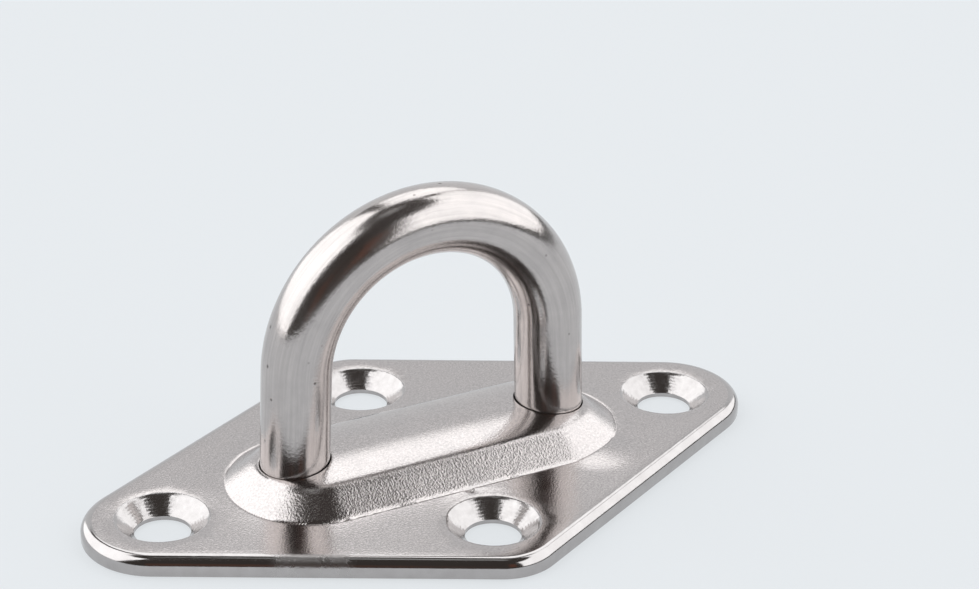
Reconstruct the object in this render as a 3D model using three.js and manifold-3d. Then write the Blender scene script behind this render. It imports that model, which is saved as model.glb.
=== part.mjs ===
// Diamond pad eye in stainless steel: a stamped base plate with a hollow boss and four countersunk
// screw holes, and a round bar bent to a U whose legs pass through the boss and are welded from below.
// Units are millimetres. +X runs along the plate's long diagonal, +Y along the short one and +Z up
// through the eye. The origin is the centre of the plate's flat underside.
import * as THREE from "three";
import { mergeVertices } from "three/addons/utils/BufferGeometryUtils.js";
import Module from "manifold-3d";

const wasm = await Module();
wasm.setup();

// Base plate: a rhombus whose corners are arcs about points on its two diagonals.
const SHEET_THICKNESS = 2.4;
const END_ARC_CENTRE = 33.1;
const END_RADIUS = 8.7;
const SIDE_ARC_CENTRE = 19.0;
const SIDE_RADIUS = 7.1;
const TOP_EDGE_RADIUS = 1.3;
const BOTTOM_EDGE_RADIUS = 0.35;

// Screw holes on both diagonals, for 6 mm countersunk screws.
const LONG_HOLE_SPACING = 65.4;
const SHORT_HOLE_SPACING = 34.4;
const HOLE_RADIUS = 3.2;
const HOLE_LAND = 0.55;
const COUNTERSINK_RADIUS = 5.45;
const LIP_WIDTH = 0.3;
const LIP_DROP = 0.12;

// Boss pressed up out of the sheet, slot-shaped about two end centres. Its section is nearly flat
// along the crown, domed from there to the shoulder, and straight down the wall to the foot.
const BOSS_END_CENTRE = 14.3;
const BOSS_FOOT_RADIUS = 10.2;
const BOSS_WALL_ANGLE = THREE.MathUtils.degToRad(36);
const BOSS_SHOULDER_START = 6.0;
const BOSS_SHOULDER_RADIUS = 3;
const BOSS_CROWN_START = 0.8;
const BOSS_CROWN_RADIUS = 20;

// Eye: 8 mm bar. The bend stops short of a half turn by the splay of each leg.
const BAR_RADIUS = 4;
const BEND_RADIUS = 16.05;
const BEND_CENTRE_HEIGHT = 16.2;
const LEG_SPLAY = THREE.MathUtils.degToRad(2);
const LEG_FOOT_HEIGHT = 0.5;

// Fillet weld round the foot of each leg, inside the recess.
const WELD_TOE_RADIUS = 4.9;
const WELD_TOE_HEIGHT = 0.9;
const WELD_BELLY_RADIUS = 6.0;
const WELD_BELLY_HEIGHT = 1.35;
const WELD_EDGE_RADIUS = 6.6;
const WELD_EDGE_HEIGHT = 2.3;

// Clearance between neighbouring pieces.
const FIT_GAP = 0.3;

// Facets. A path divides each of its arcs into twice the steps asked for.
const CORNER_STEPS = 4;
const EDGE_STEPS = 4;
const SHOULDER_STEPS = 2;
const ROUND_STEPS = 32;
const BAR_STEPS = 44;

const steel = (color, roughness) => new THREE.MeshStandardMaterial({ color, roughness, metalness: 1 });
const STAMPED_STEEL = steel(0xb9b4b0, 0.32);
const DRAWN_STEEL = steel(0xc4bfba, 0.2);
const WELD_STEEL = steel(0x8f8a84, 0.45);

// A closed three.js geometry as a manifold solid.
function solidOf(geometry) {
  const bare = geometry.clone();
  bare.deleteAttribute("normal");
  bare.deleteAttribute("uv");
  const merged = mergeVertices(bare, 1e-4);
  const vertProperties = new Float32Array(merged.attributes.position.array);
  const triVerts = new Uint32Array(merged.index.array);
  return new wasm.Manifold(new wasm.Mesh({ numProp: 3, vertProperties, triVerts }));
}

// A manifold solid as a named mesh.
function meshOf(name, solid, material) {
  const { vertProperties, triVerts } = solid.getMesh();
  const geometry = new THREE.BufferGeometry();
  geometry.setAttribute("position", new THREE.BufferAttribute(vertProperties, 3));
  geometry.setIndex(new THREE.BufferAttribute(triVerts, 1));
  geometry.computeVertexNormals();
  const mesh = new THREE.Mesh(geometry, material);
  mesh.name = name;
  return mesh;
}

// A turned shape from its profile of (radius, height) points, standing along +Z.
function turned(profile) {
  return new THREE.LatheGeometry(profile, ROUND_STEPS).rotateX(Math.PI / 2);
}

function profileOf(pairs) {
  return pairs.map(([radius, height]) => new THREE.Vector2(radius, height));
}

// Angle of the outward normal of the straight edge between an end arc and a side arc.
function edgeNormalAngle() {
  const spread = Math.hypot(END_ARC_CENTRE, SIDE_ARC_CENTRE);
  const slope = Math.atan2(SIDE_ARC_CENTRE, END_ARC_CENTRE);
  return Math.acos((SIDE_RADIUS - END_RADIUS) / spread) - slope;
}

// The plate's outline, seen from above.
function plateOutline() {
  const a = edgeNormalAngle();
  return new THREE.Shape()
    .absarc(END_ARC_CENTRE, 0, END_RADIUS, -a, a)
    .absarc(0, SIDE_ARC_CENTRE, SIDE_RADIUS, a, Math.PI - a)
    .absarc(-END_ARC_CENTRE, 0, END_RADIUS, Math.PI - a, Math.PI + a)
    .absarc(0, -SIDE_ARC_CENTRE, SIDE_RADIUS, Math.PI + a, 2 * Math.PI - a);
}

// A slab of the plate's outline between two heights, with both of its edges rounded.
function roundedSlab(bottom, top, edgeRadius) {
  const slab = new THREE.ExtrudeGeometry(plateOutline(), {
    depth: top - bottom - 2 * edgeRadius,
    curveSegments: CORNER_STEPS,
    bevelThickness: edgeRadius,
    bevelSize: edgeRadius,
    bevelOffset: -edgeRadius,
    bevelSegments: EDGE_STEPS,
  });
  return solidOf(slab.translate(0, 0, bottom + edgeRadius));
}

// The flat blank: well rounded along its top edge, only eased along the bottom one.
function plateBlank() {
  const roundTop = roundedSlab(-2 * SHEET_THICKNESS, SHEET_THICKNESS, TOP_EDGE_RADIUS);
  const easedBottom = roundedSlab(0, 2 * SHEET_THICKNESS, BOTTOM_EDGE_RADIUS);
  return roundTop.intersect(easedBottom);
}

// Half of the boss's cross-section, sunk by an inset square to its surface: from its root on the
// centre line out to its foot on a base height, up the wall, and over the shoulder and the crown.
function bossProfile(inset, base, root) {
  const wall = BOSS_WALL_ANGLE;
  const crownTilt = Math.asin((BOSS_SHOULDER_START - BOSS_CROWN_START) / BOSS_CROWN_RADIUS);
  const shoulderX = BOSS_SHOULDER_START - BOSS_SHOULDER_RADIUS * Math.sin(crownTilt);
  const wallRun = BOSS_FOOT_RADIUS - shoulderX - BOSS_SHOULDER_RADIUS * Math.sin(wall);
  const wallTop = SHEET_THICKNESS + wallRun * Math.tan(wall);
  const shoulderZ = wallTop - BOSS_SHOULDER_RADIUS * Math.cos(wall);
  const crownZ = shoulderZ + (BOSS_SHOULDER_RADIUS - BOSS_CROWN_RADIUS) * Math.cos(crownTilt);
  const footRise = SHEET_THICKNESS - inset * Math.cos(wall) - base;
  const footRadius = BOSS_FOOT_RADIUS - inset * Math.sin(wall) + footRise / Math.tan(wall);
  const shoulderRadius = BOSS_SHOULDER_RADIUS - inset;
  const crownRadius = BOSS_CROWN_RADIUS - inset;
  const up = Math.PI / 2;
  return new THREE.Path()
    .moveTo(0, root)
    .lineTo(footRadius, root)
    .lineTo(footRadius, base)
    .absarc(shoulderX, shoulderZ, shoulderRadius, up - wall, up - crownTilt)
    .absarc(BOSS_CROWN_START, crownZ, crownRadius, up - crownTilt, up)
    .lineTo(0, crownZ + crownRadius)
    .getPoints(SHOULDER_STEPS);
}

// A slot-shaped boss: two turned ends joined by a straight length of the same section.
function slotBoss(profile) {
  const mirrored = profile.slice(1, -1).map((p) => new THREE.Vector2(-p.x, p.y));
  const section = new THREE.Shape([...profile, ...mirrored.reverse()]);
  const alongX = new THREE.Matrix4().makeBasis(
    new THREE.Vector3(0, 1, 0),
    new THREE.Vector3(0, 0, 1),
    new THREE.Vector3(1, 0, 0),
  );
  const length = 2 * BOSS_END_CENTRE;
  const middle = new THREE.ExtrudeGeometry(section, { depth: length, bevelEnabled: false });
  const end = solidOf(turned(profile));
  return solidOf(middle.applyMatrix4(alongX).translate(-BOSS_END_CENTRE, 0, 0))
    .add(end.translate([-BOSS_END_CENTRE, 0, 0]))
    .add(end.translate([BOSS_END_CENTRE, 0, 0]));
}

function boss() {
  return slotBoss(bossProfile(0, SHEET_THICKNESS, SHEET_THICKNESS / 2));
}

// The recess that the punch leaves under the boss, made smaller all round by a gap.
function recess(gap) {
  return slotBoss(bossProfile(SHEET_THICKNESS + gap, 0, -1));
}

// Cutter for one screw hole: a straight land, a cone and an eased lip.
function screwHole() {
  const lipRadius = COUNTERSINK_RADIUS - LIP_WIDTH;
  const above = SHEET_THICKNESS + LIP_DROP;
  const profile = profileOf([
    [0, -1],
    [HOLE_RADIUS, -1],
    [HOLE_RADIUS, HOLE_LAND],
    [lipRadius, SHEET_THICKNESS - LIP_DROP],
    [COUNTERSINK_RADIUS + LIP_WIDTH, above],
    [0, above],
  ]);
  return solidOf(turned(profile));
}

// The lower end of the bend on one side, where the straight leg starts.
function legStart(side) {
  const x = side * BEND_RADIUS * Math.cos(LEG_SPLAY);
  return new THREE.Vector3(x, 0, BEND_CENTRE_HEIGHT + BEND_RADIUS * Math.sin(LEG_SPLAY));
}

// The point at a height on a leg's centre line, which leans outwards on its way down.
function legPoint(side, height) {
  const start = legStart(side);
  const run = (start.z - height) * Math.tan(LEG_SPLAY);
  return new THREE.Vector3(start.x + side * run, 0, height);
}

// Sets a shape that stands along +Z onto a leg, so that it follows the leg's lean.
function onLeg(side, geometry) {
  return geometry.clone().rotateY(-side * LEG_SPLAY).translate(legPoint(side, 0).x, 0, 0);
}

// Cutter for a leg's hole through the boss.
function legHole(side) {
  const radius = BAR_RADIUS + FIT_GAP;
  const drill = new THREE.CylinderGeometry(radius, radius, 8 * SHEET_THICKNESS, ROUND_STEPS);
  return solidOf(onLeg(side, drill.rotateX(Math.PI / 2)));
}

function basePlate() {
  let plate = plateBlank().add(boss()).subtract(recess(0));
  const hole = screwHole();
  for (const side of [-1, 1]) {
    plate = plate.subtract(hole.translate([(side * LONG_HOLE_SPACING) / 2, 0, 0]));
    plate = plate.subtract(hole.translate([0, (side * SHORT_HOLE_SPACING) / 2, 0]));
    plate = plate.subtract(legHole(side));
  }
  return meshOf("base_plate", plate, STAMPED_STEEL);
}

// The bend's centre line, over the top from the left leg to the right one.
class Bend extends THREE.Curve {
  getPoint(t, target = new THREE.Vector3()) {
    const sweep = Math.PI - 2 * LEG_SPLAY;
    const angle = Math.PI - LEG_SPLAY - t * sweep;
    const x = BEND_RADIUS * Math.cos(angle);
    return target.set(x, 0, BEND_CENTRE_HEIGHT + BEND_RADIUS * Math.sin(angle));
  }
}

// The U-shaped bar: up the left leg, over the bend and down the right leg.
function eyeBar() {
  const centreLine = new THREE.CurvePath();
  centreLine.add(new THREE.LineCurve3(legPoint(-1, LEG_FOOT_HEIGHT), legStart(-1)));
  centreLine.add(new Bend());
  centreLine.add(new THREE.LineCurve3(legStart(1), legPoint(1, LEG_FOOT_HEIGHT)));
  const section = new THREE.Shape().absarc(0, 0, BAR_RADIUS, 0, 2 * Math.PI);
  const bar = new THREE.ExtrudeGeometry(section, {
    extrudePath: centreLine,
    steps: BAR_STEPS,
    curveSegments: ROUND_STEPS / 2,
  });
  return meshOf("eye_bar", solidOf(bar), DRAWN_STEEL);
}

// The weld fills the corner between a leg and the roof of the recess.
function weldBead(name, side) {
  const inner = BAR_RADIUS + FIT_GAP;
  const profile = profileOf([
    [inner, WELD_TOE_HEIGHT],
    [WELD_TOE_RADIUS, WELD_TOE_HEIGHT],
    [WELD_BELLY_RADIUS, WELD_BELLY_HEIGHT],
    [WELD_EDGE_RADIUS, WELD_EDGE_HEIGHT],
    [WELD_EDGE_RADIUS, 2 * SHEET_THICKNESS],
    [inner, 2 * SHEET_THICKNESS],
    [inner, WELD_TOE_HEIGHT],
  ]);
  const bead = solidOf(onLeg(side, turned(profile))).intersect(recess(FIT_GAP));
  return meshOf(name, bead, WELD_STEEL);
}

const padEye = new THREE.Group();
padEye.add(basePlate(), eyeBar(), weldBead("weld_bead_left", -1), weldBead("weld_bead_right", 1));
export default padEye;
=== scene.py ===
"""Visual model of a diamond pad eye: the pressed base plate, the bent bar and the welds below.

Lengths are in millimetres inside the classes and become metres where a mesh is made. Each piece
takes its place from the frame, and the sizes that the frame doesn't give are fields of its class.
"""

from __future__ import annotations

import logging
import math
from dataclasses import dataclass
from enum import Enum

import bmesh
import bpy
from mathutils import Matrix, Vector, noise
from mathutils.geometry import delaunay_2d_cdt


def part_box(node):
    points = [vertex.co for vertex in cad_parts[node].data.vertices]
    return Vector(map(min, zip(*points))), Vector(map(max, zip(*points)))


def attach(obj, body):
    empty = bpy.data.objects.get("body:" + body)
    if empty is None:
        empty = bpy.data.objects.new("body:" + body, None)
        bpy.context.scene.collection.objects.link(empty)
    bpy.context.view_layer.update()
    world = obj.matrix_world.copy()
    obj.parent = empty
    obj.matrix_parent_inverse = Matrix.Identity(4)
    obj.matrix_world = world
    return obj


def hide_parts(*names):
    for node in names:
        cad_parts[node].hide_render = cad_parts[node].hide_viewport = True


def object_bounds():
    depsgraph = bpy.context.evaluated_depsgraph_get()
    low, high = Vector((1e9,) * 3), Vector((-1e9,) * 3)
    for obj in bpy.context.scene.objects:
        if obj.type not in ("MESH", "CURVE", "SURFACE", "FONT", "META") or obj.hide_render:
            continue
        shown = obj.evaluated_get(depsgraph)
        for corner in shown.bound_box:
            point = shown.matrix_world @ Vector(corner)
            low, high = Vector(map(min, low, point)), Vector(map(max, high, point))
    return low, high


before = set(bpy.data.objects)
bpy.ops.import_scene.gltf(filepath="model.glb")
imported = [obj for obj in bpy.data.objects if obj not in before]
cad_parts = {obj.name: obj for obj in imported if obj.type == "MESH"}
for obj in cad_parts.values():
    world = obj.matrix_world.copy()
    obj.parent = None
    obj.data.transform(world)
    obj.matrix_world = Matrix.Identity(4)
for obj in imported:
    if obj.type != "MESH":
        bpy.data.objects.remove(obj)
CAD_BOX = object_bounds()

MM = 0.001
LOG = logging.getLogger("pad_eye")

Point = tuple[float, float, float]
Ring = list[Point]


class Side(Enum):
    """The two legs of the eye, by the sign of their X."""

    LEFT = -1
    RIGHT = 1


class Level(Enum):
    """The plate's two faces."""

    TOP = "top"
    UNDER = "under"


def linear(colour: str) -> tuple[float, float, float, float]:
    """Turns an sRGB hex colour into linear light.

    Args:
        colour: The colour as "#rrggbb".

    Returns:
        Linear red, green and blue, and an alpha of 1.
    """
    parts = [int(colour[i : i + 2], 16) / 255 for i in (1, 3, 5)]
    light = [c / 12.92 if c <= 0.04045 else ((c + 0.055) / 1.055) ** 2.4 for c in parts]
    return (light[0], light[1], light[2], 1.0)


def add_node(
    tree: bpy.types.NodeTree,
    kind: str,
    inputs: dict[str | int, object] | None = None,
    **settings: object,
) -> bpy.types.Node:
    """Adds a node with its settings, its values and its links.

    Args:
        tree: The tree that the node joins.
        kind: The node's type name.
        inputs: For each input's name or number, a socket to link from or a value to set.
        **settings: The node's own properties.

    Returns:
        The new node.
    """
    node = tree.nodes.new(kind)
    for name, value in settings.items():
        setattr(node, name, value)
    for key, value in (inputs or {}).items():
        if isinstance(value, bpy.types.NodeSocket):
            tree.links.new(value, node.inputs[key])
        else:
            node.inputs[key].default_value = value
    return node


def per_mm(size: float) -> float:
    """The texture scale that repeats once in a size given in millimetres."""
    return 1.0 / (size * MM)


def new_material(name: str) -> tuple[bpy.types.Material, bpy.types.NodeTree]:
    """Makes an empty node material.

    Args:
        name: The material's name.

    Returns:
        The material and its tree.
    """
    material = bpy.data.materials.new(name)
    material.use_nodes = True
    material.node_tree.nodes.clear()
    return material, material.node_tree


def finish_metal(
    tree: bpy.types.NodeTree,
    colour: bpy.types.NodeSocket,
    roughness: bpy.types.NodeSocket,
    normal: bpy.types.NodeSocket,
) -> None:
    """Ends a metal's tree in its shader.

    Args:
        tree: The material's tree.
        colour: The colour of its reflections.
        roughness: Its roughness.
        normal: Its bumped normal.
    """
    shader = add_node(
        tree,
        "ShaderNodeBsdfPrincipled",
        {"Base Color": colour, "Metallic": 1.0, "Roughness": roughness, "Normal": normal},
    )
    add_node(tree, "ShaderNodeOutputMaterial", {"Surface": shader.outputs["BSDF"]})


@dataclass(frozen=True)
class PressedStainless:
    """Austenitic stainless sheet, pressed, then pickled and tumbled.

    Tumbling leaves a satin that still mirrors what stands on it. Where the press stretched the
    sheet, its grains stand out as orange peel. The grain is drawn a little coarse so that it shows.
    """

    name: str = "pressed stainless sheet"
    colour: str = "#bfb9b7"
    shade: str = "#aeaaa9"
    smooth: float = 0.13
    dull: float = 0.19
    grain: float = 0.24
    grain_height: float = 0.030
    wave: float = 9.0
    wave_height: float = 0.055
    blotch: float = 3.5
    scratch_turn: float = 14.0

    def material(self) -> bpy.types.Material:
        """Builds the material.

        Returns:
            The material, which reads the plate's "stretch" attribute.
        """
        material, tree = new_material(self.name)
        place = add_node(tree, "ShaderNodeTexCoord").outputs["Object"]
        stretch = add_node(tree, "ShaderNodeAttribute", attribute_name="stretch").outputs["Fac"]
        blotch = add_node(
            tree,
            "ShaderNodeTexNoise",
            {"Vector": place, "Scale": per_mm(self.blotch), "Detail": 5.0, "Roughness": 0.6},
        )
        grain = add_node(
            tree,
            "ShaderNodeTexNoise",
            {"Vector": place, "Scale": per_mm(self.grain), "Detail": 2.0, "Roughness": 0.6},
        )
        wave = add_node(
            tree,
            "ShaderNodeTexNoise",
            {"Vector": place, "Scale": per_mm(self.wave), "Detail": 1.0, "Roughness": 0.3},
        )
        drawn = add_node(
            tree,
            "ShaderNodeMapping",
            {
                "Vector": place,
                "Rotation": (0.0, 0.0, math.radians(self.scratch_turn)),
                "Scale": (0.015, 1.0, 1.0),
            },
        )
        lines = add_node(
            tree,
            "ShaderNodeTexNoise",
            {"Vector": drawn.outputs["Vector"], "Scale": per_mm(0.4), "Detail": 1.0},
        )
        scratch = add_node(
            tree,
            "ShaderNodeMapRange",
            {"Value": lines.outputs["Fac"], "From Min": 0.70, "From Max": 0.76},
        )
        colour = add_node(
            tree,
            "ShaderNodeMix",
            {"Factor": blotch.outputs["Fac"], 6: linear(self.colour), 7: linear(self.shade)},
            data_type="RGBA",
        )
        roughness = add_node(
            tree,
            "ShaderNodeMapRange",
            {
                "Value": blotch.outputs["Fac"],
                "From Min": 0.3,
                "From Max": 0.7,
                "To Min": self.smooth,
                "To Max": self.dull,
            },
        )
        waved = add_node(
            tree,
            "ShaderNodeBump",
            {"Height": wave.outputs["Fac"], "Distance": self.wave_height * MM, "Strength": 1.0},
        )
        peeled = add_node(
            tree,
            "ShaderNodeBump",
            {
                "Height": grain.outputs["Fac"],
                "Distance": self.grain_height * MM,
                "Strength": stretch,
                "Normal": waved.outputs["Normal"],
            },
        )
        scratched = add_node(
            tree,
            "ShaderNodeBump",
            {
                "Height": scratch.outputs["Result"],
                "Distance": 0.004 * MM,
                "Strength": 0.3,
                "Normal": peeled.outputs["Normal"],
            },
            invert=True,
        )
        bright = add_node(
            tree,
            "ShaderNodeMapRange",
            {
                "Value": grain.outputs["Fac"],
                "From Min": 0.32,
                "From Max": 0.68,
                "To Min": 0.92,
                "To Max": 1.16,
            },
        )
        specked = add_node(
            tree,
            "ShaderNodeVectorMath",
            {0: colour.outputs[2], "Scale": bright.outputs["Result"]},
            operation="SCALE",
        )
        finish_metal(
            tree, specked.outputs["Vector"], roughness.outputs["Result"], scratched.outputs["Normal"]
        )
        return material


@dataclass(frozen=True)
class TurnedStainless:
    """The same sheet where the countersinking tool has cut it.

    A fresh cut is brighter than the pickled skin, with fine rings round the hole and a slight
    chatter. The rings are drawn wider apart than a cutting tool leaves them, so that they show.
    """

    name: str = "countersunk stainless"
    colour: str = "#bfbcbb"
    ring_pitch: float = 0.30
    ring_height: float = 0.0022

    def material(self) -> bpy.types.Material:
        """Builds the material.

        Returns:
            The material, which reads the plate's "bore_radius" attribute.
        """
        material, tree = new_material(self.name)
        place = add_node(tree, "ShaderNodeTexCoord").outputs["Object"]
        radius = add_node(tree, "ShaderNodeAttribute", attribute_name="bore_radius").outputs["Fac"]
        chatter = add_node(
            tree, "ShaderNodeTexNoise", {"Vector": place, "Scale": per_mm(0.8), "Detail": 3.0}
        )
        turns = add_node(
            tree,
            "ShaderNodeMath",
            {0: radius, 1: 2 * math.pi * per_mm(self.ring_pitch)},
            operation="MULTIPLY",
        )
        uneven = add_node(
            tree,
            "ShaderNodeMath",
            {0: chatter.outputs["Fac"], 1: 7.0, 2: turns.outputs["Value"]},
            operation="MULTIPLY_ADD",
        )
        rings = add_node(tree, "ShaderNodeMath", {0: uneven.outputs["Value"]}, operation="SINE")
        cut = add_node(
            tree,
            "ShaderNodeBump",
            {"Height": rings.outputs["Value"], "Distance": self.ring_height * MM, "Strength": 1.0},
        )
        chattered = add_node(
            tree,
            "ShaderNodeBump",
            {
                "Height": chatter.outputs["Fac"],
                "Distance": 0.03 * MM,
                "Strength": 1.0,
                "Normal": cut.outputs["Normal"],
            },
        )
        colour = add_node(
            tree,
            "ShaderNodeMix",
            {"Factor": chatter.outputs["Fac"], 6: linear(self.colour), 7: linear("#a8a4a3")},
            data_type="RGBA",
        )
        roughness = add_node(
            tree,
            "ShaderNodeMapRange",
            {"Value": chatter.outputs["Fac"], "To Min": 0.10, "To Max": 0.26},
        )
        finish_metal(
            tree, colour.outputs[2], roughness.outputs["Result"], chattered.outputs["Normal"]
        )
        return material


@dataclass(frozen=True)
class RolledEdgeStainless:
    """The plate's blanked edge, rounded over and buffed.

    It mirrors more sharply than the flats. One stretch of the edge keeps a scuffed mark from the
    shear, where the buff didn't reach.
    """

    name: str = "buffed stainless edge"
    colour: str = "#bdbab9"
    mark_place: Point = (-21.3, -15.3, 0.9)
    mark_reach: float = 4.4

    def material(self) -> bpy.types.Material:
        """Builds the material.

        Returns:
            The material.
        """
        material, tree = new_material(self.name)
        place = add_node(tree, "ShaderNodeTexCoord").outputs["Object"]
        ripple = add_node(
            tree, "ShaderNodeTexNoise", {"Vector": place, "Scale": per_mm(1.6), "Detail": 2.0}
        )
        scuff = add_node(
            tree, "ShaderNodeTexNoise", {"Vector": place, "Scale": per_mm(0.5), "Detail": 4.0}
        )
        away = add_node(
            tree,
            "ShaderNodeVectorMath",
            {0: place, 1: tuple(c * MM for c in self.mark_place)},
            operation="DISTANCE",
        )
        ragged = add_node(
            tree,
            "ShaderNodeMath",
            {0: scuff.outputs["Fac"], 1: 2.2 * MM, 2: away.outputs["Value"]},
            operation="MULTIPLY_ADD",
        )
        mark = add_node(
            tree,
            "ShaderNodeMapRange",
            {
                "Value": ragged.outputs["Value"],
                "From Min": (self.mark_reach + 1.6) * MM,
                "From Max": (self.mark_reach + 0.8) * MM,
            },
        )
        colour = add_node(
            tree,
            "ShaderNodeMix",
            {"Factor": ripple.outputs["Fac"], 6: linear(self.colour), 7: linear("#aca8a7")},
            data_type="RGBA",
        )
        even = add_node(
            tree,
            "ShaderNodeMapRange",
            {"Value": ripple.outputs["Fac"], "To Min": 0.06, "To Max": 0.18},
        )
        roughness = add_node(
            tree,
            "ShaderNodeMath",
            {0: mark.outputs["Result"], 1: 0.16, 2: even.outputs["Result"]},
            operation="MULTIPLY_ADD",
        )
        rippled = add_node(
            tree,
            "ShaderNodeBump",
            {"Height": ripple.outputs["Fac"], "Distance": 0.014 * MM, "Strength": 1.0},
        )
        scuffed = add_node(
            tree,
            "ShaderNodeBump",
            {
                "Height": scuff.outputs["Fac"],
                "Distance": 0.05 * MM,
                "Strength": mark.outputs["Result"],
                "Normal": rippled.outputs["Normal"],
            },
        )
        finish_metal(
            tree, colour.outputs[2], roughness.outputs["Value"], scuffed.outputs["Normal"]
        )
        return material


@dataclass(frozen=True)
class PolishedBar:
    """Drawn stainless round bar, bent cold and polished.

    It is nearly a mirror. Fine lines from drawing run along it, with a few pits, and the surface
    waves a little where it was bent. The pits are darkened in colour, as painted shade inside them.
    The lines are drawn wider than real ones so that they show.
    """

    name: str = "polished stainless bar"
    colour: str = "#c2bcb9"
    shade: str = "#a5a1a0"
    line_width: float = 0.35
    line_height: float = 0.004
    grain_height: float = 0.011
    pit_spacing: float = 2.6

    def material(self) -> bpy.types.Material:
        """Builds the material.

        Returns:
            The material, which reads the bar's "bar_place" attribute: the place along the bar and
            the place across its section.
        """
        material, tree = new_material(self.name)
        place = add_node(tree, "ShaderNodeAttribute", attribute_name="bar_place").outputs["Vector"]
        drawn = add_node(
            tree, "ShaderNodeMapping", {"Vector": place, "Scale": (0.035, 1.0, 1.0)}
        )
        lines = add_node(
            tree,
            "ShaderNodeTexNoise",
            {
                "Vector": drawn.outputs["Vector"],
                "Scale": per_mm(self.line_width),
                "Detail": 4.0,
                "Roughness": 0.6,
            },
        )
        cloud = add_node(
            tree,
            "ShaderNodeTexNoise",
            {"Vector": place, "Scale": per_mm(4.5), "Detail": 5.0, "Roughness": 0.65},
        )
        wave = add_node(
            tree, "ShaderNodeTexNoise", {"Vector": place, "Scale": per_mm(6.0), "Detail": 1.0}
        )
        pits = add_node(
            tree,
            "ShaderNodeTexVoronoi",
            {"Vector": place, "Scale": per_mm(self.pit_spacing), "Randomness": 1.0},
        )
        pit = add_node(
            tree,
            "ShaderNodeMapRange",
            {
                "Value": pits.outputs["Distance"],
                "From Min": 0.09,
                "From Max": 0.03,
                "To Max": 1.0,
            },
        )
        tone = add_node(
            tree,
            "ShaderNodeMix",
            {"Factor": cloud.outputs["Fac"], 6: linear(self.colour), 7: linear(self.shade)},
            data_type="RGBA",
        )
        # The pits darken the colour towards #6a6562: painted shade inside each pit, over the shallow
        # dent that the bump below makes.
        colour = add_node(
            tree,
            "ShaderNodeMix",
            {"Factor": pit.outputs["Result"], 6: tone.outputs[2], 7: linear("#6a6562")},
            data_type="RGBA",
        )
        worn = add_node(
            tree,
            "ShaderNodeMapRange",
            {
                "Value": cloud.outputs["Fac"],
                "From Min": 0.35,
                "From Max": 0.75,
                "To Min": 0.11,
                "To Max": 0.21,
            },
        )
        roughness = add_node(
            tree,
            "ShaderNodeMath",
            {0: lines.outputs["Fac"], 1: 0.06, 2: worn.outputs["Result"]},
            operation="MULTIPLY_ADD",
        )
        waved = add_node(
            tree,
            "ShaderNodeBump",
            {"Height": wave.outputs["Fac"], "Distance": 0.03 * MM, "Strength": 1.0},
        )
        lined = add_node(
            tree,
            "ShaderNodeBump",
            {
                "Height": lines.outputs["Fac"],
                "Distance": self.line_height * MM,
                "Strength": 1.0,
                "Normal": waved.outputs["Normal"],
            },
        )
        grain = add_node(
            tree, "ShaderNodeTexNoise", {"Vector": place, "Scale": per_mm(0.32), "Detail": 2.0}
        )
        grained = add_node(
            tree,
            "ShaderNodeBump",
            {
                "Height": grain.outputs["Fac"],
                "Distance": self.grain_height * MM,
                "Strength": 1.0,
                "Normal": lined.outputs["Normal"],
            },
        )
        pitted = add_node(
            tree,
            "ShaderNodeBump",
            {
                "Height": pit.outputs["Result"],
                "Distance": 0.02 * MM,
                "Strength": 1.0,
                "Normal": grained.outputs["Normal"],
            },
            invert=True,
        )
        bright = add_node(
            tree,
            "ShaderNodeMapRange",
            {
                "Value": lines.outputs["Fac"],
                "From Min": 0.3,
                "From Max": 0.7,
                "To Min": 1.0,
                "To Max": 1.18,
            },
        )
        streaked = add_node(
            tree,
            "ShaderNodeVectorMath",
            {0: colour.outputs[2], "Scale": bright.outputs["Result"]},
            operation="SCALE",
        )
        finish_metal(
            tree, streaked.outputs["Vector"], roughness.outputs["Value"], pitted.outputs["Normal"]
        )
        return material


@dataclass(frozen=True)
class WeldedStainless:
    """Stainless weld metal, left as it set.

    It is duller than the sheet, with a straw to brown heat tint that comes and goes. The grain of
    its oxide is drawn coarse so that it shows.
    """

    name: str = "stainless weld metal"
    colour: str = "#9b948c"
    tint: str = "#7a6148"

    def material(self) -> bpy.types.Material:
        """Builds the material.

        Returns:
            The material.
        """
        material, tree = new_material(self.name)
        place = add_node(tree, "ShaderNodeTexCoord").outputs["Object"]
        heat = add_node(
            tree, "ShaderNodeTexNoise", {"Vector": place, "Scale": per_mm(2.5), "Detail": 3.0}
        )
        scale = add_node(
            tree, "ShaderNodeTexNoise", {"Vector": place, "Scale": per_mm(0.25), "Detail": 4.0}
        )
        tinted = add_node(
            tree,
            "ShaderNodeMapRange",
            {"Value": heat.outputs["Fac"], "From Min": 0.42, "From Max": 0.66},
        )
        colour = add_node(
            tree,
            "ShaderNodeMix",
            {"Factor": tinted.outputs["Result"], 6: linear(self.colour), 7: linear(self.tint)},
            data_type="RGBA",
        )
        roughness = add_node(
            tree,
            "ShaderNodeMapRange",
            {"Value": scale.outputs["Fac"], "To Min": 0.24, "To Max": 0.5},
        )
        rough = add_node(
            tree,
            "ShaderNodeBump",
            {"Height": scale.outputs["Fac"], "Distance": 0.03 * MM, "Strength": 1.0},
        )
        finish_metal(tree, colour.outputs[2], roughness.outputs["Result"], rough.outputs["Normal"])
        return material


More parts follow.
